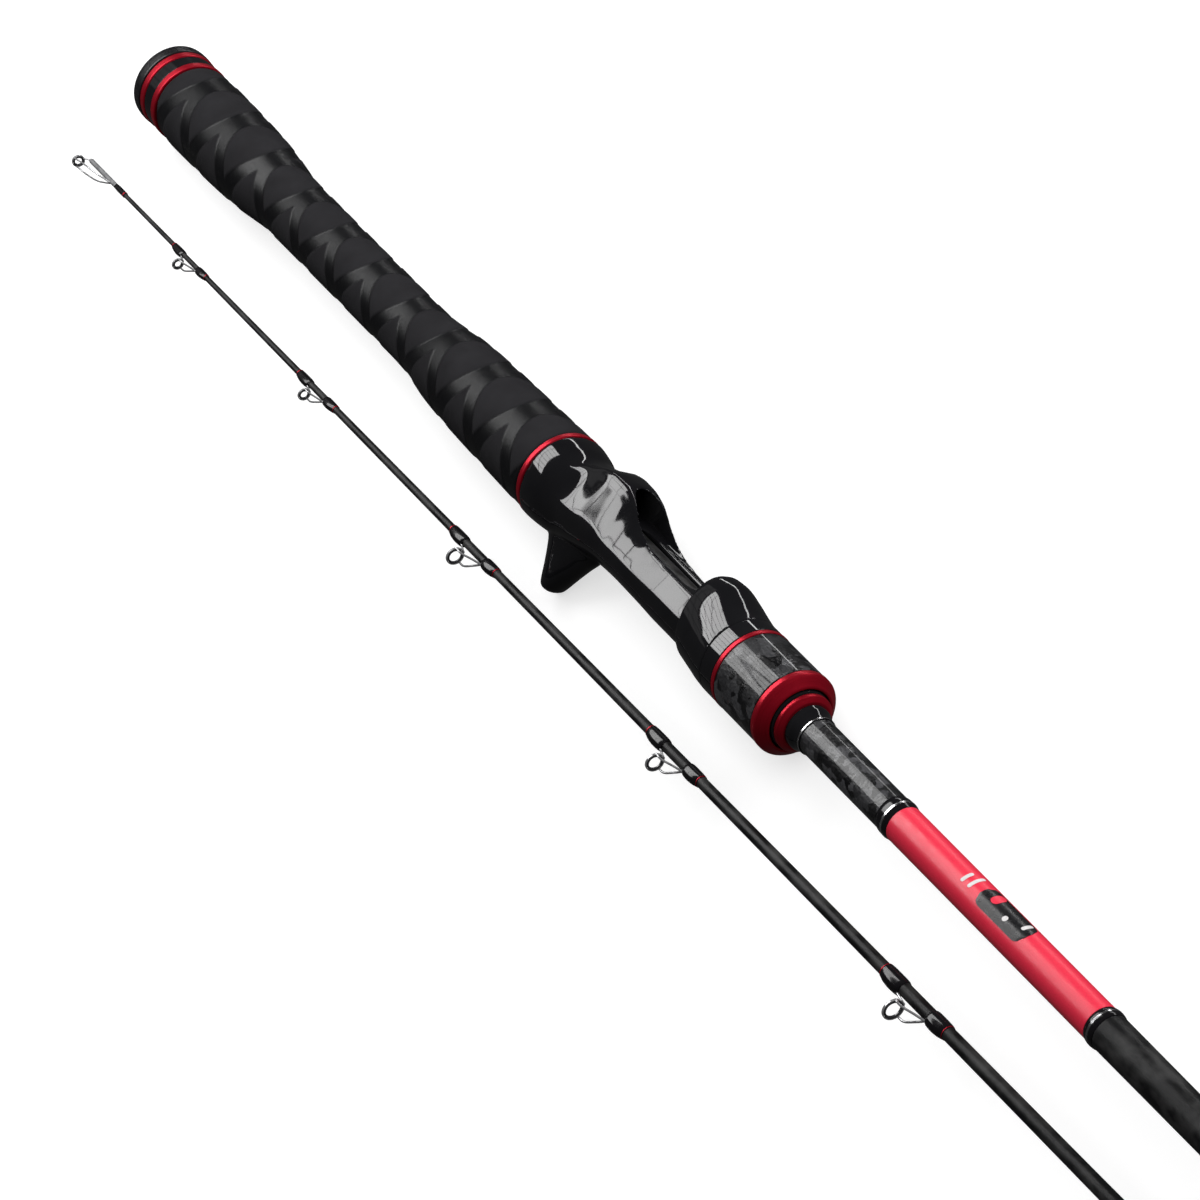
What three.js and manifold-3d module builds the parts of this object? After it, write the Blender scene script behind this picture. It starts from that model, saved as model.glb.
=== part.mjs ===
// A two-piece baitcasting rod with its sections laid side by side: the butt section with its grip,
// trigger reel seat and stripper guide, and the tip section with its spigot, seven guides and tip-top.
// Millimetres. The rods lie on the plane z = 0; +X runs from the butt cap towards the ferrule,
// and the reel side of the butt section faces +Y, rolled up by ROLL.
import * as THREE from "three";
import { mergeVertices } from "three/addons/utils/BufferGeometryUtils.js";
import Module from "manifold-3d";

const wasm = await Module();
wasm.setup();

// ---- driving dimensions: how the two sections lie ----
const ROLL = 26; // degrees, reel side turned up from +Y
const AXIS_HEIGHT = 14.3; // both rod axes above the table
const BUTT_LENGTH = 935; // butt cap to ferrule mouth
const TIP_REACH = 878; // ferrule shoulder to the end of the tip blank
const SPIGOT_LENGTH = 42; // bare part of the spigot
const TIP_LIFT_OFF = 35.4; // distance between the axes at the butt cap
const TIP_YAW = 0.73; // degrees, the tip section closes on the butt section towards the ferrule
const CLEARANCE = 0.1; // between pieces that are glued or bound together
const SLIDE_GAP = 0.35; // radial play of the sliding hood and nut on the barrel

// ---- driving dimensions: butt cap and grip ----
const CAP_RADIUS = 13.4;
const CAP_LENGTH = 5;
const CAP_RING_WIDTH = 3;
const CAP_BAND_WIDTH = 4.6;
const GRIP_START = CAP_LENGTH + 2 * CAP_RING_WIDTH + CAP_BAND_WIDTH;
const GRIP_END = 255.2;
const CHECK_RADIUS = 14.2;
const CHECK_WIDTH = 2;
const GRIP_BORE = 6.1;

// ---- driving dimensions: reel seat ----
const SEAT_START = GRIP_END + CHECK_WIDTH + CLEARANCE;
const BARREL_RADIUS = 9.2;
const BARREL_END = 388.8;
const DECK_HEIGHT = 6; // reel foot plane above the rod axis
const WINDOW = { start: 294.5, end: 330, halfWidth: 3.4 };
const TRIGGER_TIP = 27.4; // from the rod axis
const HOOD_START = 336.5;
const HOOD_END = 356.7;
const NUT_RADIUS = 12.75;
const COLLAR_END = 362.4;
const NUT_RING_END = 364.2;
const NUT_END = 383.6;
const NOSE_END = 388.3;
const NOSE_RADIUS = 12.9;

// ---- driving dimensions: blanks ----
const BUTT_BLANK_RADIUS = 5.5;
const RECESS_RADIUS = 5.1; // where the coloured sleeves are let in
const BLANK_WALL = 0.9;
const SLEEVE_START = 396.9;
const WRAP_A_START = 435.2;
const RED_START = 440.6;
const WRAP_B_START = 533.1;
const RECESS_END = 537;
const SOCKET_START = 892;
const SOCKET_WRAP_START = 903;
const SOCKET_BLANK_RADIUS = 3.87;
const SOCKET_RADIUS = 4.15;
const SPIGOT_RADIUS = 2.8;
const SPIGOT_PLAY = 0.2;
const TIP_BLANK_BUTT_RADIUS = 3.5;
const TIP_BLANK_MID = { fromTip: 560, radius: 2.16 };
const TIP_BLANK_END_RADIUS = 0.6;

// Guides, counted from the tip: distance of the ring from the end of the tip blank, ring radius,
// height of the ring centre over the blank axis, the bare stretches beside the ring, and the
// length of the binding on the tip side.
const GUIDES = [
  { fromTip: 68.7, ring: 1.95, height: 3.6, tipGap: 2.6, buttGap: 7, wrap: 7 },
  { fromTip: 154.2, ring: 2.05, height: 3.9, tipGap: 2.6, buttGap: 7, wrap: 7.6 },
  { fromTip: 250.9, ring: 2.8, height: 5.5, tipGap: 3, buttGap: 8.3, wrap: 8 },
  { fromTip: 364, ring: 2.85, height: 5.8, tipGap: 3.4, buttGap: 8.1, wrap: 8.4 },
  { fromTip: 484.7, ring: 3.2, height: 6.3, tipGap: 4.2, buttGap: 8.7, wrap: 9 },
  { fromTip: 615, ring: 3.6, height: 7.3, tipGap: 4.6, buttGap: 9.6, wrap: 9.8 },
  { fromTip: 759, ring: 4.1, height: 8.6, tipGap: 5.2, buttGap: 10.8, wrap: 10.6 },
];
const STRIPPER = { x: 870, ring: 5.1, height: 10.8, tipGap: 6, buttGap: 12.6, wrap: 12 };
const BUTT_WRAP_SHARE = 0.85; // length of the binding on the butt side, of that on the tip side
const RING_LEAN = 5; // degrees towards the tip
const TIP_RING_LEAN = 12;
const RING_SIDES = 14;
const HOLDER_WALL = 0.35; // metal around the ceramic ring

// ---- materials ----
function finish(colour, roughness, metalness) {
  return () => new THREE.MeshStandardMaterial({ color: colour, roughness, metalness });
}
const glossBlack = finish(0x0a0a0c, 0.12, 0);
const foam = finish(0x2a2a2b, 0.7, 0);
const redMetal = finish(0xb5142a, 0.35, 0.9);
const forgedCarbon = finish(0x1b1b1d, 0.2, 0);
const redPaint = finish(0xc8162e, 0.3, 0);
const blankCarbon = finish(0x333435, 0.5, 0);
const threadWrap = finish(0x0c0c0d, 0.1, 0);
const ringMetal = finish(0x9a9da1, 0.25, 1);
const ringCeramic = finish(0x2b2b2e, 0.2, 0);

// ---- solids ----
const radians = THREE.MathUtils.degToRad;
const WELD = 1e-4;

function solidOf(geometry) {
  const bare = geometry.clone();
  bare.deleteAttribute("normal");
  bare.deleteAttribute("uv");
  const welded = mergeVertices(bare, WELD);
  const mesh = new wasm.Mesh({
    numProp: 3,
    vertProperties: welded.attributes.position.array,
    triVerts: new Uint32Array(welded.index.array),
  });
  return new wasm.Manifold(mesh);
}

function geometryOf(solid) {
  const { vertProperties, triVerts } = solid.getMesh();
  const geometry = new THREE.BufferGeometry();
  geometry.setAttribute("position", new THREE.BufferAttribute(vertProperties, 3));
  geometry.setIndex(new THREE.BufferAttribute(triVerts, 1));
  geometry.computeVertexNormals();
  return geometry;
}

function joined(...geometries) {
  return geometryOf(geometries.map(solidOf).reduce((sum, solid) => sum.add(solid)));
}

function cut(geometry, ...tools) {
  return geometryOf(tools.map(solidOf).reduce((rest, tool) => rest.subtract(tool), solidOf(geometry)));
}

// A solid of revolution about +X. The profile is a list of [x, radius], from low x to high x.
function turned(profile, segments = 20) {
  const points = profile.map(([x, radius]) => new THREE.Vector2(radius, x));
  return new THREE.LatheGeometry(points, segments).rotateZ(-Math.PI / 2);
}

// A sleeve about +X: the outer profile, closed by a bore of one radius.
function sleeve(outer, bore, segments = 20) {
  const first = outer[0];
  const last = outer[outer.length - 1];
  return turned([[first[0], bore], ...outer, [last[0], bore], [first[0], bore]], segments);
}

// A closed skin over cross-sections that run along +X, each a loop of points in the same order.
function loft(loops) {
  const count = loops[0].length;
  const points = loops.flat();
  const index = [];
  for (let i = 0; i + 1 < loops.length; i++) {
    for (let j = 0; j < count; j++) {
      const a = i * count + j;
      const b = i * count + ((j + 1) % count);
      index.push(a, b, b + count, a, b + count, a + count);
    }
  }
  const lastLoop = (loops.length - 1) * count;
  for (let j = 1; j + 1 < count; j++) {
    index.push(0, j + 1, j);
    index.push(lastLoop, lastLoop + j, lastLoop + j + 1);
  }
  return new THREE.BufferGeometry().setFromPoints(points).setIndex(index);
}

// A cross-section at x: half-width `side`, `up` above the axis and `down` below it.
// A squareness of 1 is an ellipse, and lower values fill the corners.
function section(x, up, down, side, squareness = 1, count = 20) {
  const bend = (value) => Math.sign(value) * Math.abs(value) ** squareness;
  return Array.from({ length: count }, (_, i) => {
    const angle = (2 * Math.PI * i) / count;
    const rise = bend(Math.sin(angle));
    return new THREE.Vector3(x, side * bend(Math.cos(angle)), rise * (rise > 0 ? up : down));
  });
}

// A round wire along a smooth curve through the points.
function wire(points, radius, steps) {
  const halfSides = 3;
  const path = new THREE.CatmullRomCurve3(points.map((point) => new THREE.Vector3(...point)));
  const round = new THREE.Shape().absarc(0, 0, radius, 0, 2 * Math.PI);
  return new THREE.ExtrudeGeometry(round, { extrudePath: path, steps, curveSegments: halfSides });
}

function box(lengthX, widthY, heightZ, x, y, z) {
  return new THREE.BoxGeometry(lengthX, widthY, heightZ).translate(x, y, z);
}

function node(parent, name, geometry, material) {
  const mesh = new THREE.Mesh(geometry, material());
  mesh.name = name;
  parent.add(mesh);
}

// ---- the butt end and the grip ----
function addGrip(parent) {
  const bandStart = CAP_LENGTH + CAP_RING_WIDTH;
  const gap = CLEARANCE;
  const capHub = GRIP_BORE - 0.2;
  node(parent, "butt_cap", joined(
    turned([[0, 0], [0, 11.8], [0.8, 12.9], [2.2, CAP_RADIUS], [CAP_LENGTH - gap, CAP_RADIUS],
      [CAP_LENGTH - gap, 0]]),
    turned([[CAP_LENGTH - 1, 0], [CAP_LENGTH - 1, capHub], [GRIP_START, capHub], [GRIP_START, 0]]),
  ), glossBlack);
  const rings = [["butt_ring_rear", CAP_LENGTH], ["butt_ring_front", bandStart + CAP_BAND_WIDTH]];
  for (const [name, start] of rings) {
    const end = start + CAP_RING_WIDTH - gap;
    const rim = CAP_RADIUS + 0.1;
    node(parent, name, sleeve([[start, rim - 0.3], [start + 0.3, rim], [end - 0.3, rim],
      [end, rim - 0.3]], GRIP_BORE), redMetal);
  }
  node(parent, "butt_band", sleeve([[bandStart, CAP_RADIUS - 0.2],
    [bandStart + CAP_BAND_WIDTH - gap, CAP_RADIUS - 0.2]], GRIP_BORE), forgedCarbon);
  const waist = [[GRIP_START, 13.2], [24, 13.65], [44, 13.45], [60, 12.95], [68, 12.4], [76, 11.5],
    [84, 10.7], [100, 10.5], [168, 10.35], [177, 10.6], [184, 11.3], [192, 12.3], [202, 12.95],
    [219, 13.45], [236, 13.75], [GRIP_END - gap, 14.05]];
  node(parent, "rear_grip", sleeve(waist, GRIP_BORE), foam);
  node(parent, "winding_check", sleeve([[GRIP_END, CHECK_RADIUS - 0.3], [GRIP_END + 0.3, CHECK_RADIUS],
    [GRIP_END + CHECK_WIDTH - 0.3, CHECK_RADIUS], [GRIP_END + CHECK_WIDTH, CHECK_RADIUS - 0.3]],
  GRIP_BORE), redMetal);
}

// ---- the reel seat: body, rear hood and trigger in one moulding ----
function seatBody() {
  // x, up, down, half-width
  const stations = [
    [SEAT_START, 13.9, 13.9, 13.9],
    [262, 13.2, 13.6, 13.2],
    [268, 12.1, 13, 12],
    [273, 12.7, 12.2, 11.6],
    [279, 15, 11.2, 11.4],
    [284, 16.2, 10.2, 11.2],
    [288, 16.2, 9.4, 11],
    [293, 15, 8.8, 10.6],
    [298, 12.7, 8.5, 10.2],
    [303, 10.2, 8.4, 9.8],
    [309, 7.8, 8.5, 9.5],
    [315, 6.7, 8.7, 9.3],
    [320, 6.6, 9, 9.2],
    [328, 6.6, BARREL_RADIUS, BARREL_RADIUS],
    [342, 6.6, BARREL_RADIUS, BARREL_RADIUS],
  ];
  const shell = loft(stations.map(([x, up, down, side]) => section(x, up, down, side, 0.9)));
  const threadStart = 341;
  const ridges = [[threadStart, 0]];
  ridges.push([threadStart, BARREL_RADIUS]);
  for (let x = 366; x < BARREL_END - 3; x += 4) {
    ridges.push([x, BARREL_RADIUS], [x + 1, BARREL_RADIUS - 0.4], [x + 2, BARREL_RADIUS]);
  }
  ridges.push([BARREL_END - 0.6, BARREL_RADIUS], [BARREL_END, BARREL_RADIUS - 0.5], [BARREL_END, 0]);
  return joined(shell, turned(ridges));
}

function trigger() {
  // down from the axis, rear edge x, front edge x, half-width
  const levels = [
    [6, 262, 288, 6.5],
    [11, 262.5, 286.5, 6.2],
    [15, 265, 283.8, 5.6],
    [20, 267.6, 280.6, 5],
    [25, 270, 277.4, 4.4],
    [TRIGGER_TIP, 271.6, 275.4, 3],
  ];
  const count = 16;
  const loops = levels.map(([depth, rear, front, half]) => Array.from({ length: count }, (_, i) => {
    const angle = (2 * Math.PI * i) / count;
    const middle = (rear + front) / 2;
    const reach = (front - rear) / 2;
    return new THREE.Vector3(middle + reach * Math.cos(angle), -half * Math.sin(angle), -depth);
  }));
  return loft(loops);
}

// The hollow of the rear hood, which opens forwards and upwards over the deck.
function rearPocket() {
  // x, top, half-width
  const stations = [[271, 9.5, 4.6], [280, 12.2, 6], [287, 13.8, 6.6], [292, 16.6, 7.2],
    [300, 19, 7.4], [345, 22, 7.4]];
  const floor = DECK_HEIGHT;
  const count = 12;
  const loops = stations.map(([x, top, half]) => Array.from({ length: count }, (_, i) => {
    const angle = (Math.PI * i) / (count - 1);
    return new THREE.Vector3(x, half * Math.cos(angle), floor + (top - floor) * Math.sin(angle));
  }));
  return loft(loops);
}

function bladeWindow() {
  const { start, end, halfWidth } = WINDOW;
  const outline = new THREE.Shape();
  outline.absarc(end - halfWidth, 0, halfWidth, -Math.PI / 2, Math.PI / 2);
  outline.absarc(start + halfWidth, 0, halfWidth, Math.PI / 2, 1.5 * Math.PI);
  return new THREE.ExtrudeGeometry(outline, { depth: 2 * DECK_HEIGHT, bevelEnabled: false, curveSegments: 8 });
}

function addReelSeat(parent) {
  const bore = BUTT_BLANK_RADIUS + CLEARANCE;
  const arbor = { start: SEAT_START + 3, end: 290, radius: 7.4 };
  const through = turned([[SEAT_START - 1, 0], [SEAT_START - 1, bore], [BARREL_END + 1, bore],
    [BARREL_END + 1, 0]]);
  const arborSpace = turned([[SEAT_START - 1, 0], [SEAT_START - 1, arbor.radius],
    [arbor.end, arbor.radius], [arbor.end, 0]]);
  const seat = joined(seatBody(), trigger());
  node(parent, "reel_seat", cut(seat, rearPocket(), bladeWindow(), through, arborSpace), glossBlack);
  node(parent, "seat_arbor", sleeve([[arbor.start, arbor.radius - CLEARANCE],
    [arbor.end - 1, arbor.radius - CLEARANCE]], bore), foam);
}

// ---- the sliding front hood, its collar and the lock nut ----
function addHoodAndNut(parent) {
  const bore = BARREL_RADIUS + SLIDE_GAP;
  // x, up, down, half-width
  const stations = [
    [HOOD_START, 14.6, 10.3, 10.6],
    [339, 15.6, 10.6, 11],
    [343, 15.9, 11.1, 11.6],
    [348, 14.9, 11.8, 12.2],
    [352.5, 13.6, 12.5, 12.6],
    [HOOD_END, NUT_RADIUS, NUT_RADIUS, NUT_RADIUS],
  ];
  const shell = loft(stations.map(([x, up, down, side]) => section(x, up, down, side)));
  const inside = turned([[HOOD_START - 1, 0], [HOOD_START - 1, bore], [HOOD_END + 1, bore],
    [HOOD_END + 1, 0]]);
  // the mouth's edge leans back towards the rear hood, so the underside starts further forward
  const mouth = box(30, 40, 60, -15, 0, 0).rotateY(radians(-12)).translate(339.4, 0, 0);
  const pocket = loft([[HOOD_START - 2, 13.2, 6.8], [342, 12.8, 6.6], [350, 11, 5.8]].map(
    ([x, top, half]) => Array.from({ length: 12 }, (_, i) => {
      const angle = (Math.PI * i) / 11;
      return new THREE.Vector3(x, half * Math.cos(angle), 4 + (top - 4) * Math.sin(angle));
    }),
  ));
  node(parent, "front_hood", cut(shell, inside, mouth, pocket), glossBlack);
  node(parent, "hood_collar", sleeve([[HOOD_END + CLEARANCE, NUT_RADIUS],
    [COLLAR_END - CLEARANCE, NUT_RADIUS]], bore), glossBlack);
  node(parent, "nut_ring", sleeve([[COLLAR_END, NUT_RADIUS], [COLLAR_END + 0.3, NUT_RADIUS + 0.1],
    [NUT_RING_END - 0.3, NUT_RADIUS + 0.1], [NUT_RING_END - CLEARANCE, NUT_RADIUS]], bore), redMetal);
  node(parent, "lock_nut", sleeve([[NUT_RING_END, NUT_RADIUS], [NUT_END - CLEARANCE, NUT_RADIUS]],
    bore), forgedCarbon);
  node(parent, "nose_ring", sleeve([[NUT_END, NOSE_RADIUS - 0.2], [NUT_END + 0.3, NOSE_RADIUS],
    [NUT_END + 1.8, NOSE_RADIUS], [NUT_END + 2.4, NOSE_RADIUS - 0.4], [NOSE_END, 10.2]],
  bore), redMetal);
}

// ---- the blank of the butt section and what is on it ----
function addButtBlank(parent) {
  const socketBore = SPIGOT_RADIUS + SPIGOT_PLAY;
  const blankEnd = SOCKET_START - CLEARANCE;
  const frontRadius = SOCKET_BLANK_RADIUS;
  const rearInside = BUTT_BLANK_RADIUS - 2 * BLANK_WALL;
  const blankStart = GRIP_START + 1;
  node(parent, "butt_blank", turned([
    [blankStart, rearInside],
    [blankStart, BUTT_BLANK_RADIUS],
    [SLEEVE_START - 0.2, BUTT_BLANK_RADIUS],
    [SLEEVE_START - 0.2, RECESS_RADIUS],
    [RECESS_END, RECESS_RADIUS],
    [RECESS_END, 5.4],
    [700, 4.85],
    [blankEnd, frontRadius],
    [blankEnd, socketBore],
    [860, socketBore],
    [600, rearInside],
    [blankStart, rearInside],
  ], 20), blankCarbon);
  node(parent, "ferrule_socket", sleeve([[SOCKET_START, frontRadius], [SOCKET_WRAP_START, frontRadius],
    [SOCKET_WRAP_START + 1.5, SOCKET_RADIUS], [BUTT_LENGTH - 1, SOCKET_RADIUS],
    [BUTT_LENGTH, SOCKET_RADIUS - 0.3]], socketBore), threadWrap);

  const bore = BUTT_BLANK_RADIUS + CLEARANCE;
  const recessBore = RECESS_RADIUS + CLEARANCE;
  node(parent, "front_check", sleeve([[389.1, 8.9], [390.4, 8.9], [391.6, 7.6]], bore), redMetal);
  node(parent, "check_collar", sleeve([[391.7, 7], [393.4, 6.8], [395, 6.2], [396.6, 5.9]],
    bore), glossBlack);
  node(parent, "foregrip_sleeve", sleeve([[SLEEVE_START, 5.55], [WRAP_A_START - CLEARANCE, 5.5]],
    recessBore), forgedCarbon);
  node(parent, "wrap_a", sleeve([[WRAP_A_START, 5.5], [WRAP_A_START + 1, 5.8], [438.5, 5.85],
    [RED_START - CLEARANCE, 5.5]], recessBore), threadWrap);
  node(parent, "red_sleeve", sleeve([[RED_START, 5.5], [WRAP_B_START - CLEARANCE, 5.42]],
    recessBore), redPaint);
  node(parent, "wrap_b", sleeve([[WRAP_B_START, 5.45], [534, 5.72], [536, 5.75],
    [RECESS_END - CLEARANCE, 5.5]], recessBore), threadWrap);
}

// ---- guides ----
// In a section's own frame +X points to the tip and +Z to the guide side.
// The wire, the feet and the ring wall all grow with the ring.
function guideParts(guide, blankRadius) {
  const { ring } = guide;
  const wireRadius = 0.16 + 0.055 * ring;
  const footHeight = 1.6 * wireRadius;
  return {
    wireRadius,
    footHeight,
    footZ: blankRadius + CLEARANCE + footHeight / 2,
    footWidth: Math.min(2.6 * wireRadius, blankRadius),
    footLength: 0.58 * guide.wrap,
    holderWidth: 0.35 + 0.12 * ring,
  };
}

function guideFrame(guide, blankRadius) {
  const { x, ring, height, tipGap, buttGap } = guide;
  const { wireRadius, footHeight, footZ, footWidth, footLength, holderWidth } = guideParts(guide, blankRadius);
  const lean = radians(RING_LEAN);
  const holder = sleeve([[-holderWidth / 2, ring], [holderWidth / 2, ring]], ring - HOLDER_WALL, RING_SIDES)
    .rotateY(lean).translate(x, 0, height);
  const buttFoot = x - buttGap;
  const footShows = 0.9; // of a foot, outside its binding
  const legEnd = 0.5; // the legs stop short of the binding
  const onRing = ring - HOLDER_WALL + wireRadius; // keeps the wire out of the ring's bore
  const legs = [-1, 1].map((side) => wire([
    [x, side * 0.95 * onRing, height - 0.3 * onRing],
    [x - 0.34 * buttGap, side * 0.86 * onRing, height - 0.32 * ring],
    [x - 0.72 * buttGap, side * 0.42 * onRing, footZ + 0.32 * (height - footZ)],
    [buttFoot + legEnd, side * 0.3 * wireRadius, footZ],
  ], wireRadius, 5));
  const tipFoot = x + tipGap;
  const ringFoot = [x - onRing * Math.sin(lean), 0, height - onRing * Math.cos(lean)];
  const legMiddle = [x + 0.5 * tipGap, 0, (ringFoot[2] + footZ) / 2];
  const tipLeg = wire([ringFoot, legMiddle, [tipFoot - legEnd, 0, footZ]], wireRadius, 3);
  const feet = [
    [buttFoot, -1],
    [tipFoot, 1],
  ].map(([start, direction]) => box(footLength, footWidth, footHeight,
    start + direction * (footLength / 2 - footShows), 0, footZ));
  return joined(holder, ...legs, tipLeg, ...feet);
}

// The thread binding over a foot: fuller on the guide side, with a slot where the foot lies.
function guideWrap(guide, blankRadius, direction, radiusAt) {
  const { x, tipGap, buttGap, ring } = guide;
  const wrap = direction > 0 ? guide.wrap : BUTT_WRAP_SHARE * guide.wrap;
  const { wireRadius, footHeight, footWidth, footLength } = guideParts(guide, blankRadius);
  const inner = direction > 0 ? x + tipGap : x - buttGap;
  const outer = inner + direction * wrap;
  const low = Math.min(inner, outer);
  const cover = blankRadius + CLEARANCE + footHeight + 0.12 + 0.05 * ring;
  const round = blankRadius + 0.2 + 0.06 * ring;
  // share of the length from the inner end, height over the foot, radius elsewhere
  const shape = [[0, cover, round - 0.12], [0.3, cover + 0.12, round], [0.75, cover + 0.02, round],
    [1, blankRadius + 0.32, round - 0.06]];
  const loops = shape.map(([part, up, side]) => section(inner + direction * part * wrap, up, side, side, 1, 14));
  const body = loft(direction > 0 ? loops : loops.reverse());
  const bore = Math.max(radiusAt(low), radiusAt(low + wrap)) + CLEARANCE;
  const through = turned([[low - 1, 0], [low - 1, bore], [low + wrap + 1, bore], [low + wrap + 1, 0]], 14);
  const room = 0.08;
  const slotLength = footLength + 2;
  const slotWidth = Math.max(footWidth, 2 * wireRadius) + 2 * room;
  const slotTop = blankRadius + CLEARANCE + footHeight + room;
  const slot = box(slotLength, slotWidth, slotTop, inner + direction * (slotLength / 2 - 2), 0, slotTop / 2);
  return cut(body, through, slot);
}

function ringInsert(ring) {
  const rim = ring - HOLDER_WALL - CLEARANCE / 2;
  const half = 0.26 + 0.06 * ring;
  const band = 0.42 + 0.08 * ring;
  return sleeve([[-half, rim - 0.4 * band], [-half / 2, rim], [half / 2, rim], [half, rim - 0.4 * band]],
    rim - band, RING_SIDES);
}

function addGuide(parent, prefix, guide, radiusAt) {
  const blankRadius = radiusAt(guide.x);
  node(parent, prefix + "_frame", guideFrame(guide, blankRadius), ringMetal);
  node(parent, prefix + "_ring", ringInsert(guide.ring).rotateY(radians(RING_LEAN))
    .translate(guide.x, 0, guide.height), ringCeramic);
  node(parent, prefix + "_wrap_tip", guideWrap(guide, blankRadius, 1, radiusAt), threadWrap);
  node(parent, prefix + "_wrap_butt", guideWrap(guide, blankRadius, -1, radiusAt), threadWrap);
}

// ---- the tip section, in its own frame: x = 0 at the ferrule shoulder ----
function tipRadiusAt(x) {
  const fromTip = TIP_REACH - x;
  const { fromTip: middle, radius } = TIP_BLANK_MID;
  if (fromTip < middle) {
    return THREE.MathUtils.mapLinear(fromTip, 0, middle, TIP_BLANK_END_RADIUS, radius);
  }
  return THREE.MathUtils.mapLinear(fromTip, middle, TIP_REACH, radius, TIP_BLANK_BUTT_RADIUS);
}

function addTipTop(parent) {
  const ring = 2.1;
  const reach = 3.5; // ring centre beyond the end of the blank
  const height = 3.3;
  const tubeStart = TIP_REACH - 17.5;
  const tubeBore = TIP_BLANK_END_RADIUS + 0.12;
  const tubeRadius = tubeBore + 0.2;
  const wireRadius = 0.27;
  const x = TIP_REACH + reach;
  const tube = sleeve([[tubeStart, tubeRadius], [TIP_REACH + 0.4, tubeRadius]], tubeBore, 14);
  const plug = turned([[TIP_REACH + 0.2, 0], [TIP_REACH + 0.2, tubeRadius], [TIP_REACH + 1.2, 0.6],
    [TIP_REACH + 1.2, 0]], 14);
  const holder = sleeve([[-0.4, ring], [0.4, ring]], ring - HOLDER_WALL, RING_SIDES)
    .rotateY(radians(TIP_RING_LEAN)).translate(x, 0, height);
  const sides = [-1, 1].map((side) => wire([
    [x, side * 0.75 * ring, height + 0.5 * ring],
    [x - 5, side * 0.95 * ring, height + 0.4],
    [x - 12, side * 0.75 * ring, 2.7],
    [tubeStart + 3, side * 0.25, tubeRadius - 0.05],
  ], wireRadius, 8));
  const lower = wire([[x - 0.1, 0, height - ring + 0.1], [x - 1.6, 0, 0.4], [TIP_REACH + 0.6, 0, 0.1]],
    wireRadius, 3);
  node(parent, "tip_top_frame", joined(tube, plug, holder, ...sides, lower), ringMetal);
  node(parent, "tip_top_ring", ringInsert(ring).rotateY(radians(TIP_RING_LEAN)).translate(x, 0, height),
    ringCeramic);
  const wrapEnd = tubeStart - CLEARANCE;
  const wrapStart = wrapEnd - 7;
  node(parent, "tip_top_wrap", sleeve([[wrapStart, tubeRadius - 0.02], [wrapStart + 2, tubeRadius + 0.1],
    [wrapEnd - 2, tubeRadius + 0.12], [wrapEnd, tubeRadius + 0.02]], tipRadiusAt(wrapStart) + CLEARANCE, 14),
  threadWrap);
}

function addTipSection(parent) {
  const tubeClear = 0.3;
  node(parent, "tip_blank", turned([[0, 0], [0, TIP_BLANK_BUTT_RADIUS - 0.2], [1, TIP_BLANK_BUTT_RADIUS],
    [TIP_REACH - TIP_BLANK_MID.fromTip, TIP_BLANK_MID.radius],
    [TIP_REACH - tubeClear, TIP_BLANK_END_RADIUS], [TIP_REACH - tubeClear, 0]], 14), blankCarbon);
  const ferruleWrap = { start: 1, end: 25 };
  node(parent, "tip_ferrule_wrap", sleeve([[ferruleWrap.start, 3.75], [ferruleWrap.start + 2, 4.05],
    [ferruleWrap.end - 2, 4], [ferruleWrap.end, tipRadiusAt(ferruleWrap.end) + 0.25]],
  TIP_BLANK_BUTT_RADIUS + CLEARANCE, 20), threadWrap);
  node(parent, "spigot", turned([[-SPIGOT_LENGTH, 0], [-SPIGOT_LENGTH, SPIGOT_RADIUS - 0.5],
    [-SPIGOT_LENGTH + 1, SPIGOT_RADIUS - 0.15], [-CLEARANCE, SPIGOT_RADIUS], [-CLEARANCE, 0]], 20), blankCarbon);
  addTipTop(parent);
  GUIDES.forEach((guide, i) => {
    addGuide(parent, "guide_" + (i + 1), { ...guide, x: TIP_REACH - guide.fromTip }, tipRadiusAt);
  });
}

// ---- the assembly ----
const buttSection = new THREE.Group();
buttSection.rotation.x = radians(ROLL - 90);
buttSection.position.z = AXIS_HEIGHT;
addGrip(buttSection);
addReelSeat(buttSection);
addHoodAndNut(buttSection);
addButtBlank(buttSection);
addGuide(buttSection, "stripper", STRIPPER,
  (x) => THREE.MathUtils.mapLinear(x, 700, SOCKET_START, 4.85, SOCKET_BLANK_RADIUS));

const tipSection = new THREE.Group();
tipSection.rotation.set(radians(ROLL - 90), 0, radians(180 + TIP_YAW), "ZYX");
const tipDirection = new THREE.Vector3(-Math.cos(radians(TIP_YAW)), -Math.sin(radians(TIP_YAW)), 0);
tipSection.position.set(0, -TIP_LIFT_OFF, AXIS_HEIGHT).addScaledVector(tipDirection, -TIP_REACH);
addTipSection(tipSection);

const rod = new THREE.Group();
rod.add(buttSection, tipSection);
rod.updateMatrixWorld(true);
const bounds = new THREE.Box3().setFromObject(rod, true);
const middle = bounds.getCenter(new THREE.Vector3());
rod.position.set(-middle.x, -middle.y, -bounds.min.z);

export default rod;
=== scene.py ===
"""A two-piece casting rod, its sections side by side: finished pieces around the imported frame.

Shapes are made in millimetres in a section's own frame: +x along the section towards its tip,
+z to the guide or reel side. BUTT and TIP carry them to the shared frame in metres.
"""
import math

import bmesh
import bpy
from mathutils import Matrix, Vector


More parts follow.
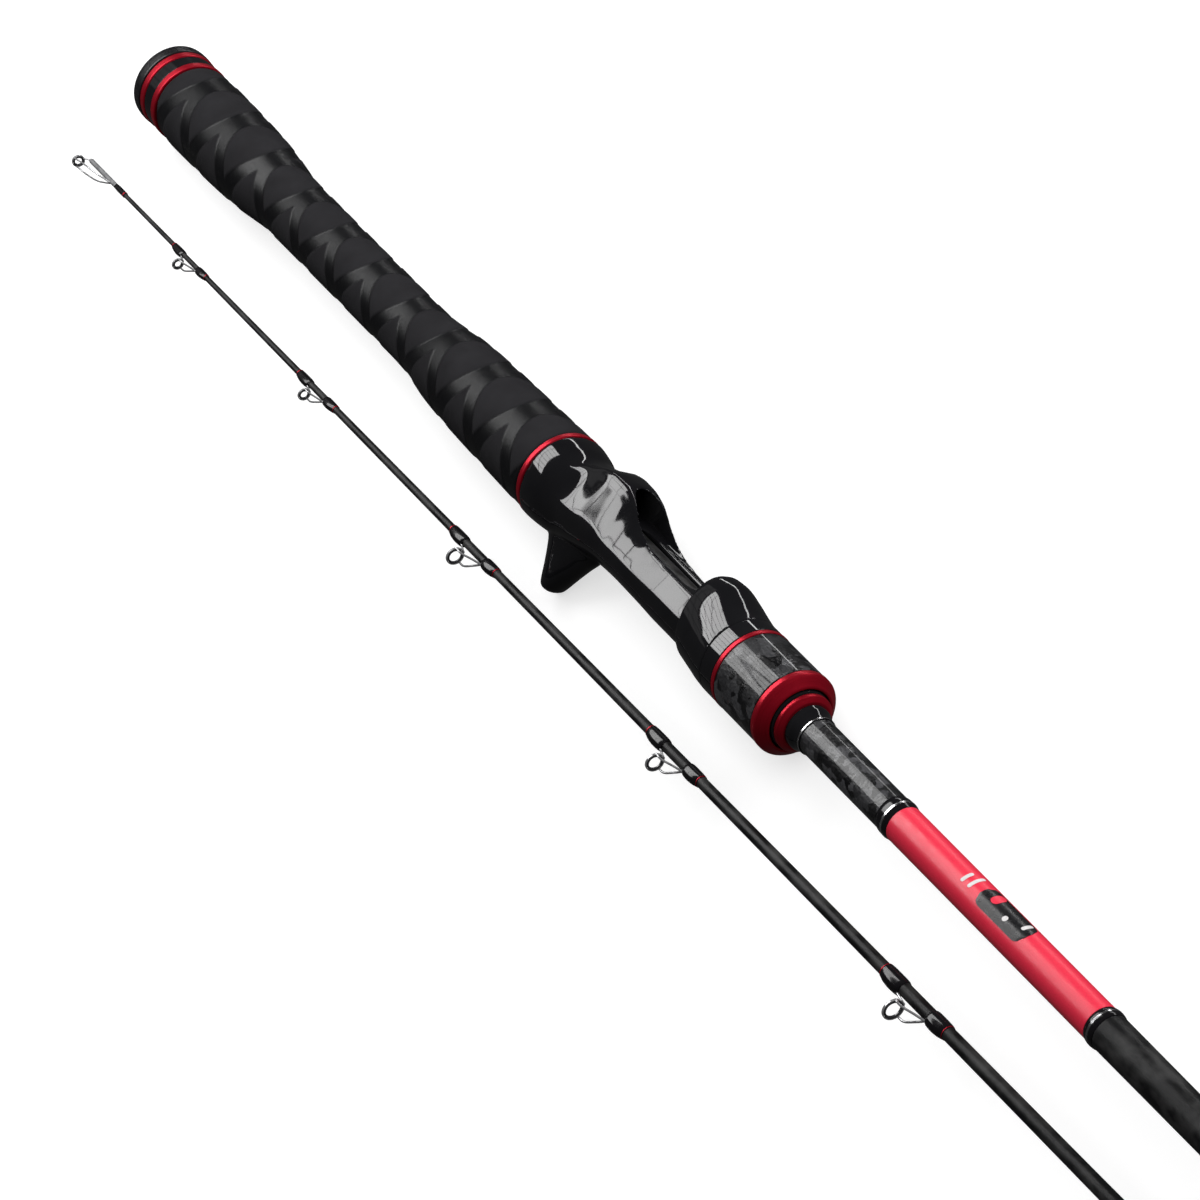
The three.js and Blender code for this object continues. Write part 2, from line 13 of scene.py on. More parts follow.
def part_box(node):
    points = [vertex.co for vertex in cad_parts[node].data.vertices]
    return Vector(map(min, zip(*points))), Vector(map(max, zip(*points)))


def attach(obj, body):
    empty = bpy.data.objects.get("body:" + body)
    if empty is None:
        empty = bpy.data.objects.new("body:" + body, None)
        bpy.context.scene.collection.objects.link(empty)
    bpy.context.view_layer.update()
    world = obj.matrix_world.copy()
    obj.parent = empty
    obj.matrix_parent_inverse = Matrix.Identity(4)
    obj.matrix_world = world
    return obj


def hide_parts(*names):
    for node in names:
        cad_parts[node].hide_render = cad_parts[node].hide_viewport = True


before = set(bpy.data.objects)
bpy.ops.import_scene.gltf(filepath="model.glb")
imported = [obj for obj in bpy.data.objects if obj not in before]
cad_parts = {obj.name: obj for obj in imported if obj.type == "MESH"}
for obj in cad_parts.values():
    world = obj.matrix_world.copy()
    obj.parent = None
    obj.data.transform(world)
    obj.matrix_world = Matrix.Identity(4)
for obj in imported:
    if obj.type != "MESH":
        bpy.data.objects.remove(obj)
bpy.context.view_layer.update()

MM = 0.001
ROLL = math.radians(-64)  # each section lies rolled about its own axis, its +z side leaning over
SIDES = 96
ON_AXIS = 1e-6  # a radius below this is taken as nothing
EASE_LIMIT = 0.42  # share of an edge that a rounded corner may take up
SUPPORT = 1.15  # where the loop beside a rounded corner lies, as a share of its reach
WIRE_SIDES = 12


# ---- the two sections' frames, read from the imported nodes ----
def ring_centre(node, x):
    """The middle of those vertices of a node that lie at x, in metres."""
    near = [v.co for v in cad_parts[node].data.vertices if abs(v.co.x - x) < 0.15 * MM]
    return sum(near, Vector()) / len(near)


cap_lo, cap_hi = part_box("butt_cap")
butt_origin = Vector((cap_lo.x, (cap_lo.y + cap_hi.y) / 2, (cap_lo.z + cap_hi.z) / 2))
tip_lo, tip_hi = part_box("tip_blank")
tip_origin = ring_centre("tip_blank", tip_hi.x)
tip_run = ring_centre("tip_blank", tip_lo.x) - tip_origin
tip_heading = math.atan2(tip_run.y, tip_run.x)
PLACE = {
    "butt": (butt_origin, (ROLL, 0, 0)),
    "tip": (tip_origin, (ROLL, 0, tip_heading)),
}


def section_matrix(section):
    """From a section's own millimetres to metres in the shared frame."""
    origin, (roll, _, heading) = PLACE[section]
    turn = Matrix.Rotation(heading, 4, "Z") @ Matrix.Rotation(roll, 4, "X")
    return Matrix.Translation(origin) @ turn @ Matrix.Scale(MM, 4)


# ---- shapes ----
def mesh_from(verts, faces):
    """A mesh with its doubled points merged and its faces turned outwards."""
    mesh = bpy.data.meshes.new("shape")
    mesh.from_pydata([tuple(v) for v in verts], [], faces)
    bm = bmesh.new()
    bm.from_mesh(mesh)
    bmesh.ops.remove_doubles(bm, verts=bm.verts, dist=1e-5)
    bmesh.ops.recalc_face_normals(bm, faces=bm.faces)
    bm.to_mesh(mesh)
    bm.free()
    return mesh


def rounded(points, radius=0.3, steps=4):
    """A profile with its corners eased, and a support loop beside each."""
    count = len(points)
    out = []
    for i, corner in enumerate(points):
        p = Vector(corner)
        a, b = Vector(points[i - 1]), Vector(points[(i + 1) % count])
        if p.y < ON_AXIS:
            out.append(p)
            continue
        to_a, to_b = a - p, b - p
        reach = min(radius, EASE_LIMIT * to_a.length, EASE_LIMIT * to_b.length)
        start, end = p + to_a.normalized() * reach, p + to_b.normalized() * reach
        out.append(p + to_a.normalized() * reach * SUPPORT)
        for k in range(steps + 1):
            t = k / steps
            out.append((1 - t) ** 2 * start + 2 * t * (1 - t) * p + t * t * end)
        out.append(p + to_b.normalized() * reach * SUPPORT)
    return [(p.x, p.y) for p in out]


def turned(profile, sides=SIDES):
    """A profile of (x, radius) turned about the x axis."""
    verts, rings, faces = [], [], []
    for x, radius in profile:
        if radius < ON_AXIS:
            rings.append([len(verts)])
            verts.append((x, 0, 0))
            continue
        rings.append(list(range(len(verts), len(verts) + sides)))
        turns = [2 * math.pi * i / sides for i in range(sides)]
        verts += [(x, radius * math.cos(a), radius * math.sin(a)) for a in turns]
    for a, b in zip(rings, rings[1:] + rings[:1]):
        if len(a) == 1 and len(b) == 1:
            continue
        for i in range(sides):
            j = (i + 1) % sides
            if len(a) == 1:
                faces.append((a[0], b[i], b[j]))
            elif len(b) == 1:
                faces.append((a[i], b[0], a[j]))
            else:
                faces.append((a[i], b[i], b[j], a[j]))
    return mesh_from(verts, faces)


def tube(outer, bore, radius=0.25, sides=SIDES):
    """A sleeve: the outer profile from rear to front, closed by a straight bore."""
    profile = list(outer) + [(outer[-1][0], bore), (outer[0][0], bore)]
    return turned(rounded(profile, radius), sides)


def lofted(loops):
    """A closed skin over a row of loops, each with the same count of points."""
    count = len(loops[0])
    verts = [p for loop in loops for p in loop]
    faces = []
    for k in range(len(loops) - 1):
        for i in range(count):
            j = (i + 1) % count
            faces.append((k * count + i, k * count + j, (k + 1) * count + j, (k + 1) * count + i))
    faces.append(tuple(range(count)))
    faces.append(tuple(range(len(verts) - count, len(verts))))
    return mesh_from(verts, faces)


def steady(table, x):
    """Each column of a table of stations, at x, along a smooth line that never overshoots."""
    last = len(table) - 1
    k = max(i for i in range(last) if table[i][0] <= x or i == 0)

    def slope(i, c):
        if i in (0, last):
            return 0.0
        before = (table[i][c] - table[i - 1][c]) / (table[i][0] - table[i - 1][0])
        after = (table[i + 1][c] - table[i][c]) / (table[i + 1][0] - table[i][0])
        return 0.0 if before * after <= 0 else 2 * before * after / (before + after)

    width = table[k + 1][0] - table[k][0]
    t = min(max((x - table[k][0]) / width, 0), 1)
    values = []
    for c in range(1, len(table[0])):
        start, end = table[k][c], table[k + 1][c]
        rise = (t ** 3 - 2 * t * t + t) * slope(k, c) + (t ** 3 - t * t) * slope(k + 1, c)
        values.append(start + (3 * t * t - 2 * t ** 3) * (end - start) + width * rise)
    return values


def oval(x, up, down, side, square=1.0, count=72):
    """A section that reaches up, down and to both sides; square below 1 fills its corners."""
    loop = []
    for i in range(count):
        a = 2 * math.pi * i / count
        c, s = math.cos(a), math.sin(a)
        y = side * math.copysign(abs(c) ** square, c)
        z = (up if s > 0 else down) * math.copysign(abs(s) ** square, s)
        loop.append((x, y, z))
    return loop


def smooth_path(points, steps=10):
    """Points along a smooth curve through the given ones."""
    pts = [Vector(p) for p in points]
    ends = [2 * pts[0] - pts[1]] + pts + [2 * pts[-1] - pts[-2]]
    out = []
    for k in range(1, len(ends) - 2):
        a, b, c, d = ends[k - 1:k + 3]
        for s in range(steps):
            t = s / steps
            out.append(0.5 * (2 * b + (c - a) * t + (2 * a - 5 * b + 4 * c - d) * t * t
                              + (3 * b - a - 3 * c + d) * t ** 3))
    return out + [pts[-1]]


def wire(points, radius):
    """A round wire along a smooth path through the points."""
    path = smooth_path(points)
    loops = []
    side = Vector((0, 1, 0))
    for i, p in enumerate(path):
        run = (path[min(i + 1, len(path) - 1)] - path[max(i - 1, 0)]).normalized()
        side = (side - run * side.dot(run)).normalized()
        up = run.cross(side)
        turns = [2 * math.pi * k / WIRE_SIDES for k in range(WIRE_SIDES)]
        loops.append([p + radius * (math.cos(a) * side + math.sin(a) * up) for a in turns])
    return lofted(loops)


def block(length, width, height, x, y, z):
    """A box centred on a point."""
    verts = [(x + i * length / 2, y + j * width / 2, z + k * height / 2)
             for i in (-1, 1) for j in (-1, 1) for k in (-1, 1)]
    faces = [(0, 1, 3, 2), (4, 6, 7, 5), (0, 4, 5, 1), (2, 3, 7, 6), (0, 2, 6, 4), (1, 5, 7, 3)]
    return mesh_from(verts, faces)


def moved(mesh, matrix):
    mesh.transform(matrix)
    return mesh


def modified(mesh, *steps):
    """The mesh after a list of modifiers, each (kind, settings)."""
    work = bpy.data.objects.new("work", mesh)
    bpy.context.scene.collection.objects.link(work)
    for kind, settings in steps:
        modifier = work.modifiers.new(kind, kind)
        for key, value in settings.items():
            setattr(modifier, key, value)
    depsgraph = bpy.context.evaluated_depsgraph_get()
    result = bpy.data.meshes.new_from_object(work.evaluated_get(depsgraph))
    bpy.data.objects.remove(work)
    return result


def combined(base, operation, *tools):
    """The base joined with, or cut by, each of the tools in turn."""
    for tool in tools:
        other = bpy.data.objects.new("tool", tool)
        bpy.context.scene.collection.objects.link(other)
        base = modified(base, ("BOOLEAN", {"operation": operation, "object": other, "solver": "EXACT"}))
        bpy.data.objects.remove(other)
    return base


def fused(mesh, voxel, rounds):
    """One skin with softened edges, as a moulding has."""
    return modified(mesh, ("REMESH", {"mode": "VOXEL", "voxel_size": voxel}),
                    ("SMOOTH", {"factor": 0.5, "iterations": rounds}))


# ---- materials ----
class Finish:
    """A node material whose patterns are laid out in a section's own millimetres."""

    def __init__(self, name, section):
        self.material = bpy.data.materials.new(name)
        self.material.use_nodes = True
        self.tree = self.material.node_tree
        self.tree.nodes.clear()
        self.shader = self.node("ShaderNodeBsdfPrincipled")
        output = self.node("ShaderNodeOutputMaterial")
        self.link(self.shader.outputs["BSDF"], output.inputs["Surface"])
        coordinates = self.node("ShaderNodeTexCoord")
        mapping = self.node("ShaderNodeMapping")
        mapping.vector_type = "TEXTURE"
        origin, rotation = PLACE[section]
        mapping.inputs["Location"].default_value = origin
        mapping.inputs["Rotation"].default_value = rotation
        mapping.inputs["Scale"].default_value = (MM, MM, MM)
        self.link(coordinates.outputs["Object"], mapping.inputs["Vector"])
        self.local = mapping.outputs["Vector"]

    def node(self, kind, **settings):
        node = self.tree.nodes.new(kind)
        for key, value in settings.items():
            setattr(node, key, value)
        return node

    def link(self, source, target):
        self.tree.links.new(source, target)

    def set(self, **values):
        """Fixed values of the shader's own sockets, a socket's spaces written as underscores."""
        for key, value in values.items():
            self.shader.inputs[key.replace("_", " ")].default_value = value
        return self

    def stretched(self, scale):
        """The section's coordinates, scaled along each axis."""
        node = self.node("ShaderNodeMapping")
        node.inputs["Scale"].default_value = scale
        self.link(self.local, node.inputs["Vector"])
        return node.outputs["Vector"]

    def noise(self, scale, detail=2.0, vector=None, roughness=0.5):
        node = self.node("ShaderNodeTexNoise")
        node.inputs["Scale"].default_value = scale
        node.inputs["Detail"].default_value = detail
        node.inputs["Roughness"].default_value = roughness
        self.link(vector or self.local, node.inputs["Vector"])
        return node.outputs["Fac"]

    def ramp(self, source, low, high, start=0.3, end=0.7):
        """The source spread from the low to the high value, colours or numbers."""
        node = self.node("ShaderNodeMapRange", data_type="FLOAT")
        node.inputs["From Min"].default_value = start
        node.inputs["From Max"].default_value = end
        self.link(source, node.inputs["Value"])
        if not isinstance(low, tuple):
            node.inputs["To Min"].default_value = low
            node.inputs["To Max"].default_value = high
            return node.outputs["Result"]
        return self.blend(node.outputs["Result"], low, high)

    def blend(self, factor, low, high):
        """A colour between two others; each may be a fixed colour or a socket."""
        node = self.node("ShaderNodeMix", data_type="RGBA")
        self.link(factor, node.inputs["Factor"])
        colours = [s for s in node.inputs if s.type == "RGBA"]
        for socket, value in zip(colours, (low, high)):
            if isinstance(value, tuple):
                socket.default_value = (*value, 1)
            else:
                self.link(value, socket)
        return [s for s in node.outputs if s.type == "RGBA"][0]

    def mix(self, factor, low, high):
        """A number between two others; each may be fixed or a socket."""
        node = self.node("ShaderNodeMix", data_type="FLOAT")
        floats = [s for s in node.inputs if s.type == "VALUE"]
        self.link(factor, floats[0])
        for socket, value in zip(floats[1:], (low, high)):
            if isinstance(value, (int, float)):
                socket.default_value = value
            else:
                self.link(value, socket)
        return [s for s in node.outputs if s.type == "VALUE"][0]

    def wire_to(self, name, source):
        self.link(source, self.shader.inputs[name])

    def bump(self, height, strength, distance):
        node = self.node("ShaderNodeBump")
        node.inputs["Strength"].default_value = strength
        node.inputs["Distance"].default_value = distance * MM
        self.link(height, node.inputs["Height"])
        self.link(node.outputs["Normal"], self.shader.inputs["Normal"])

    def chips(self, scale, vector):
        """Straight-edged cells."""
        node = self.node("ShaderNodeTexVoronoi", distance="MANHATTAN")
        node.inputs["Scale"].default_value = scale
        self.link(vector, node.inputs["Vector"])
        return node

    def bands(self, scale, distortion):
        """Bands across the section's axis."""
        node = self.node("ShaderNodeTexWave", bands_direction="X")
        node.inputs["Scale"].default_value = scale
        node.inputs["Distortion"].default_value = distortion
        self.link(self.local, node.inputs["Vector"])
        return node.outputs["Fac"]


def gloss_black(name, section):
    look = Finish(name, section).set(IOR=1.5)
    look.wire_to("Roughness", look.ramp(look.noise(0.35, 3), 0.035, 0.075))
    tone = look.ramp(look.noise(0.08), (0.005, 0.005, 0.006), (0.008, 0.008, 0.009))
    look.wire_to("Base Color", tone)
    return look.material


def satin_black(name, section):
    look = Finish(name, section).set(IOR=1.5)
    tone = look.ramp(look.noise(1.2, 3), (0.006, 0.006, 0.007), (0.011, 0.011, 0.012))
    look.wire_to("Base Color", tone)
    look.wire_to("Roughness", look.ramp(look.noise(0.6, 3), 0.24, 0.34))
    return look.material


def grip_foam(name, section):
    """Matte printed patches on a satin ground; "patch" is 1 on a patch."""
    look = Finish(name, section)
    patch = look.node("ShaderNodeAttribute", attribute_name="patch").outputs["Fac"]
    pores = look.noise(2.6, 5, roughness=0.65)
    clouds = look.noise(0.12, 2)
    matte = look.ramp(clouds, (0.0155, 0.015, 0.0165), (0.02, 0.0195, 0.0215))
    satin = look.ramp(pores, (0.002, 0.002, 0.0025), (0.005, 0.005, 0.006))
    look.wire_to("Base Color", look.blend(patch, satin, matte))
    look.wire_to("Roughness", look.mix(patch, look.ramp(pores, 0.3, 0.42), 0.9))
    look.wire_to("Specular IOR Level", look.mix(patch, 0.24, 0.1))
    look.bump(pores, 0.35, 0.06)
    return look.material


def arbor_foam(name, section):
    look = Finish(name, section)
    look.wire_to("Base Color", look.ramp(look.noise(1.5, 4), (0.05, 0.05, 0.05), (0.1, 0.1, 0.1)))
    look.wire_to("Roughness", look.ramp(look.noise(3), 0.8, 0.95))
    return look.material


def red_anodised(name, section):
    look = Finish(name, section).set(Metallic=0.7)
    turning = look.noise(1, 2, look.stretched((5, 0.02, 0.02)))
    look.wire_to("Base Color", look.ramp(turning, (0.42, 0.005, 0.018), (0.5, 0.008, 0.026)))
    look.wire_to("Roughness", look.ramp(turning, 0.3, 0.38))
    return look.material


def white_print(name, section):
    look = Finish(name, section)
    look.wire_to("Base Color", look.ramp(look.noise(1.5, 3), (0.6, 0.58, 0.58), (0.72, 0.7, 0.7)))
    look.wire_to("Roughness", look.ramp(look.noise(0.7), 0.3, 0.42))
    return look.material


def silver(name, section):
    look = Finish(name, section).set(Metallic=1.0)
    turning = look.noise(1, 2, look.stretched((6, 0.05, 0.05)))
    look.wire_to("Base Color", look.ramp(turning, (0.52, 0.52, 0.53), (0.7, 0.7, 0.71)))
    look.wire_to("Roughness", look.ramp(turning, 0.18, 0.3))
    return look.material


def forged_carbon(name, section):
    """Chips of carbon pressed every way, under a clear coat."""
    look = Finish(name, section).set(Coat_Weight=0.45, Coat_Roughness=0.03, Specular_IOR_Level=0.35)
    wobble = look.node("ShaderNodeTexNoise")
    wobble.inputs["Scale"].default_value = 0.5
    look.link(look.local, wobble.inputs["Vector"])
    spread = look.node("ShaderNodeVectorMath", operation="SCALE")
    spread.inputs["Scale"].default_value = 1.1
    look.link(wobble.outputs["Color"], spread.inputs[0])
    bent = look.node("ShaderNodeVectorMath", operation="ADD")
    look.link(look.local, bent.inputs[0])
    look.link(spread.outputs["Vector"], bent.inputs[1])
    chips = look.node("ShaderNodeSeparateColor")
    look.link(look.chips(0.3, bent.outputs["Vector"]).outputs["Color"], chips.inputs["Color"])
    flecks = look.chips(1.1, bent.outputs["Vector"]).outputs["Distance"]
    fibres = look.noise(1, 3, look.stretched((0.5, 3.5, 3.5)))
    cross = look.noise(1, 3, look.stretched((4, 0.6, 0.6)))
    grain = look.mix(chips.outputs["Green"], fibres, cross)
    level = look.node("ShaderNodeMath", operation="MULTIPLY")
    look.link(look.ramp(chips.outputs["Red"], 0.05, 1.0, 0.35, 1.0), level.inputs[0])
    look.link(grain, level.inputs[1])
    colour = look.ramp(level.outputs["Value"], (0.001, 0.001, 0.0015), (0.07, 0.07, 0.075), 0.12, 0.6)
    look.wire_to("Base Color", colour)
    look.wire_to("Roughness", look.ramp(chips.outputs["Blue"], 0.25, 0.55, 0, 1))
    look.bump(flecks, 0.8, 0.09)
    return look.material


def red_paint(name, section):
    look = Finish(name, section).set(Coat_Weight=0.2, Coat_Roughness=0.35)
    flake = look.noise(4, 2)
    look.wire_to("Base Color", look.ramp(flake, (0.7, 0.02, 0.05), (0.82, 0.028, 0.07)))
    look.wire_to("Roughness", look.ramp(look.noise(0.3), 0.3, 0.42))
    return look.material


def blank_carbon(name, section):
    """A lacquered carbon blank: faint turns of tape and cloudy patches."""
    look = Finish(name, section).set(Specular_IOR_Level=0.28)
    clouds = look.noise(0.2, 3, look.stretched((0.6, 1, 1)))
    tape = look.bands(0.5, 1.5)
    grain = look.noise(1, 2, look.stretched((0.6, 6, 6)))
    base = look.ramp(clouds, (0.002, 0.002, 0.0025), (0.036, 0.0355, 0.0355), 0.42, 0.7)
    tone = look.blend(look.ramp(grain, 0.0, 0.22), base, (0.025, 0.0245, 0.024))
    look.wire_to("Base Color", tone)
    look.wire_to("Roughness", look.ramp(clouds, 0.36, 0.5))
    look.bump(tape, 0.12, 0.02)
    return look.material


def thread_epoxy(name, section):
    look = Finish(name, section).set(Coat_Weight=0.3, Coat_Roughness=0.04, Specular_IOR_Level=0.2)
    threads = look.bands(1.6, 0.2)
    tone = look.ramp(threads, (0.003, 0.003, 0.004), (0.009, 0.008, 0.009), 0, 1)
    look.wire_to("Base Color", tone)
    look.wire_to("Roughness", look.ramp(look.noise(0.5), 0.1, 0.2))
    return look.material


def guide_metal(name, section):
    look = Finish(name, section).set(Metallic=0.55)
    polish = look.noise(0.8, 3)
    look.wire_to("Base Color", look.ramp(polish, (0.3, 0.3, 0.31), (0.5, 0.5, 0.51)))
    look.wire_to("Roughness", look.ramp(polish, 0.1, 0.2))
    return look.material


def guide_ceramic(name, section):
    look = Finish(name, section).set(IOR=1.9)
    look.wire_to("Base Color", look.ramp(look.noise(1.0), (0.02, 0.02, 0.023), (0.04, 0.04, 0.045)))
    look.wire_to("Roughness", look.ramp(look.noise(0.7), 0.06, 0.14))
    return look.material


MAKERS = {
    "gloss_black": gloss_black, "satin_black": satin_black, "grip_foam": grip_foam,
    "arbor_foam": arbor_foam, "red_anodised": red_anodised, "silver": silver,
    "white_print": white_print, "forged_carbon": forged_carbon, "red_paint": red_paint,
    "blank_carbon": blank_carbon, "thread_epoxy": thread_epoxy, "guide_metal": guide_metal,
    "guide_ceramic": guide_ceramic,
}
made = {}


def look_for(kind, section):
    """The material of a kind in a section's coordinates, made once."""
    name = kind + "_" + section
    if name not in made:
        made[name] = MAKERS[kind](name, section)
    return made[name]


# ---- pieces ----
BODY_SECTION = {"butt_section": "butt", "hood": "butt", "nut": "butt", "tip_section": "tip"}


def piece(name, mesh, body, slot, node=None, look=None, crease=40):
    """Puts a finished mesh on its body, in place of its CAD node if it has one."""
    section = BODY_SECTION[body]
    mesh.transform(section_matrix(section))
    mesh.name = name
    obj = bpy.data.objects.new(name, mesh)
    bpy.context.scene.collection.objects.link(obj)
    for face in mesh.polygons:
        face.use_smooth = True
    mesh.set_sharp_from_angle(angle=math.radians(crease))
    mesh.materials.clear()
    mesh.materials.append(look_for(look or slot, section))
    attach(obj, body)
    if node:
        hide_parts(node)


# ---- butt cap and grip ----
GRIP_BORE = 6.1
GRIP_START = 15.6
GRIP_END = 255.1
GRIP_STEP = 0.5
GRIP_SIDES = 312
PITCH = 23.4  # of the patches, along the grip
LEAF = 0.33 * PITCH  # half the length of a patch
FIRST_TIP = 28.9
RELIEF = 0.24  # how far the patches stand out
SOFT_EDGE = 0.45
END_EASE = 0.9
END_DROP = 0.7
# rows of patches: centre and half-height in degrees round the grip, and the stagger in pitches
PATCH_ROWS = [(33, 80, 0.5), (-84, 85, 0), (147, 82, 0)]
# x and radius of the grip
WAIST = [(GRIP_START, 13.2), (24, 13.65), (44, 13.45), (60, 12.95), (68, 12.4), (76, 11.5), (84, 10.7),
         (100, 10.5), (168, 10.35), (177, 10.6), (184, 11.3), (192, 12.3), (202, 12.95), (219, 13.45),
         (236, 13.75), (GRIP_END, 14.05)]


def patch_depth(x, phi, radius):
    """How far inside a patch a point is, in millimetres; negative on the ground between them."""
    deepest = -PITCH
    for centre, half_height, stagger in PATCH_ROWS:
        off = (phi - centre + 180) % 360 - 180
        reach = off / half_height
        if abs(reach) >= 1:
            continue
        half_width = LEAF * (1 - reach * reach) ** 1.5
        fall = LEAF * 3 * abs(reach) * math.sqrt(1 - reach * reach)
        lean = fall / (math.radians(half_height) * radius)
        along = (x - FIRST_TIP - stagger * PITCH + PITCH / 2) % PITCH - PITCH / 2
        deepest = max(deepest, (half_width - abs(along)) / math.hypot(1, lean))
    return deepest


def rear_grip():
    """The long grip, as a grid of points, with each point's share of a patch kept as an attribute."""
    sides = GRIP_SIDES
    count = round((GRIP_END - GRIP_START) / GRIP_STEP)
    xs = [GRIP_START + (GRIP_END - GRIP_START) * i / count for i in range(count + 1)]
    verts, masks, faces = [], [], []
    for k, x in enumerate(xs):
        base = steady(WAIST, x)[0]
        from_end = min(x - GRIP_START, GRIP_END - x)
        edge = END_DROP * max(0, 1 - from_end / END_EASE) ** 2
        for i in range(sides):
            a = 2 * math.pi * i / sides
            y, z = math.cos(a), math.sin(a)
            world_y = math.cos(ROLL) * y - math.sin(ROLL) * z
            world_z = math.sin(ROLL) * y + math.cos(ROLL) * z
            phi = math.degrees(math.atan2(world_y, world_z))
            depth = patch_depth(x, phi, base)
            t = min(max(depth / SOFT_EDGE + 0.5, 0), 1)
            mask = t * t * (3 - 2 * t)
            r = base - edge - RELIEF * (1 - mask)
            verts.append((x, r * y, r * z))
            masks.append(mask)
    for k in range(count):
        for i in range(sides):
            j = (i + 1) % sides
            faces.append((k * sides + i, k * sides + j, (k + 1) * sides + j, (k + 1) * sides + i))
    outer = len(verts)
    for x in (xs[0], xs[-1]):
        for i in range(sides):
            a = 2 * math.pi * i / sides
            verts.append((x, GRIP_BORE * math.cos(a), GRIP_BORE * math.sin(a)))
            masks.append(0)
    for i in range(sides):
        j = (i + 1) % sides
        a, b = outer, outer + sides
        top = count * sides
        faces.append((a + i, a + j, j, i))
        faces.append((top + i, top + j, b + j, b + i))
        faces.append((b + i, b + j, a + j, a + i))
    mesh = bpy.data.meshes.new("rear_grip")
    mesh.from_pydata(verts, [], faces)
    mesh.attributes.new("patch", "FLOAT", "POINT").data.foreach_set("value", masks)
    return mesh


def build_grip():
    body = "butt_section"
    cap = [(0, 0), (0, 12.6), (0.5, 13.5), (2.2, 13.7), (4.9, 13.7), (4.9, 5.9), (GRIP_START, 5.9),
           (GRIP_START, 0)]
    piece("cap_end", turned(rounded(cap, 0.6, 5)), body, "gloss_black", "butt_cap", "satin_black")
    for name, start in (("rear", 5), ("front", 12.6)):
        edge = [(start, 13.25), (start + 0.4, 13.5), (start + 2.5, 13.5), (start + 2.9, 13.25)]
        piece(f"trim_ring_{name}", tube(edge, GRIP_BORE, 0.2), body, "red_anodised", f"butt_ring_{name}")
    piece("carbon_band", tube([(8, 13.2), (12.5, 13.2)], GRIP_BORE, 0.15), body, "forged_carbon",
          "butt_band", "gloss_black")
    piece("grip_sleeve", rear_grip(), body, "grip_foam", "rear_grip", crease=60)
    edge = [(255.2, 14), (255.5, 14.2), (256.9, 14.2), (257.2, 14)]
    piece("grip_check", tube(edge, GRIP_BORE, 0.2), body, "red_anodised", "winding_check")


# ---- reel seat, with its barrel and trigger ----
SEAT_START = 257.3
SEAT_BORE = 5.6
SHELL_END = 344
SHELL_STEPS = 110
BARREL = 9.2
BARREL_START = 343
BARREL_END = 388.8
THREAD_START = 366
THREAD_PITCH = 4
THREAD_DEPTH = 0.4
ARBOR_END = 290
ARBOR_RADIUS = 7.4
DECK = 6
DECK_EDGE = 0.57  # where a flat slope would meet the top, as a share of the seat's half-width
SLENDER = 1.82  # height over half-width at which the slopes are only trimmed, not squared
SQUARE_RANGE = 0.45
SLIT_REAR = 297.9  # centres of the two round ends of the slit in the deck
SLIT_FRONT = 326.6
SLIT_HALF = 3.4
POCKET_START = 271
# x, reach up, reach down, half-width
SEAT = [(SEAT_START, 13.9, 13.9, 13.9), (262.5, 13.2, 13.6, 13.6), (268, 12.1, 13, 12.3),
        (273.5, 12.8, 12.1, 11), (279, 15, 11.2, 10.7), (284, 16.2, 10.2, 10.5), (288, 16.2, 9.4, 10.4),
        (293, 15, 8.8, 10.25), (298, 12.7, 8.5, 10.1), (303, 10.2, 8.4, 10), (309, 8, 8.5, 9.95),
        (315, 7.1, 8.7, 9.7), (320, 7, 9, 9.4), (323, 7, BARREL, BARREL), (SHELL_END, 6.6, BARREL, BARREL)]
# x, share of flat slope in the flanks
SLANT = [(SEAT_START, 0), (267, 0), (276, 1), (334, 1), (SHELL_END, 0)]
# depth below the axis, x of the rear edge, x of the front edge, half-width
TRIGGER = [(6, 262, 288, 6.5), (11, 262.5, 286.5, 6.2), (15, 265, 283.8, 5.6), (20, 267.6, 280.6, 5),
           (25, 270, 277.4, 4.4), (26.6, 270.9, 276.2, 3.7), (27.4, 272.2, 274.9, 2)]
# x, top, half-width
POCKET = [(POCKET_START, 9.5, 4.4), (280, 12.2, 5.6), (287, 13.8, 6.1), (292, 16.6, 6.2), (300, 19, 6),
          (306, 20, 5.7), (345, 22, 5.8)]


def spread(start, length, steps):
    """Evenly spaced positions, both ends included."""
    return [start + length * i / steps for i in range(steps + 1)]


def arch(x, top, half, floor, count=24):
    turns = [math.pi * i / (count - 1) for i in range(count)]
    return [(x, half * math.cos(a), floor + (top - floor) * math.sin(a)) for a in turns]


def seat_section(x, up, down, side, slant):
    """An oval whose upper flanks turn into flat slopes beside a deck as slant goes to 1."""
    edge = DECK_EDGE * side
    square = min(1, max(0, (SLENDER * side - up) / (SQUARE_RANGE * side)))
    loop = []
    for _, y, z in oval(x, up, down, side, 0.9, SIDES):
        reach = math.hypot(y, z)
        c, s = abs(y) / reach, z / reach
        if s > 0.02:
            sloped = side * up / (up * c + (side - edge) * s) * (1.04 - 0.04 * square)
            sloped = min(sloped, up / s)
            trimmed = min(reach, sloped)
            reach += slant * (trimmed + square * (sloped - trimmed) - reach)
        loop.append((x, math.copysign(c, y) * reach, s * reach))
    return loop


